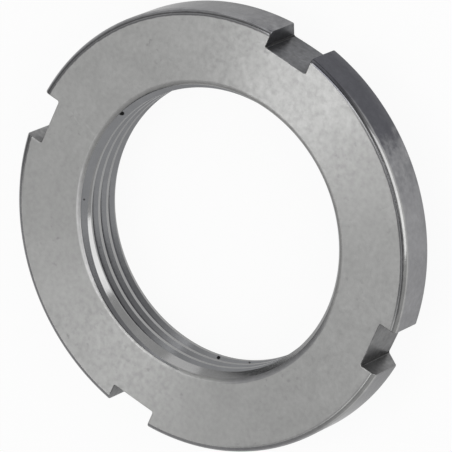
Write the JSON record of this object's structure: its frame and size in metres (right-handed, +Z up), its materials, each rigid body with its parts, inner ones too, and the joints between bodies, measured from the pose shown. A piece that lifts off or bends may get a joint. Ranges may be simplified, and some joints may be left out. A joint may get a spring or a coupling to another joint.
{
  "type": "lock nut",
  "caption": "Flat round steel lock nut with a fine threaded bore, square spanner slots across its rim and a long chamfer down to its bearing face.",
  "frame": {"origin": "on the thread axis, in the plane of the bearing face that the nut lies on", "axes": "+Z up the thread axis, from the bearing face to the wide front face; +X and +Y each run out through the middle of a spanner slot"},
  "size_m": [0.0446, 0.0446, 0.007],
  "materials": {
    "steel": "bare steel: matt ground faces, fine turned rim, bore and chamfers, milled slots, trace of oil"
  },
  "bodies": {
    "root": {"lock_nut": "steel"}
  },
  "joints": []
}
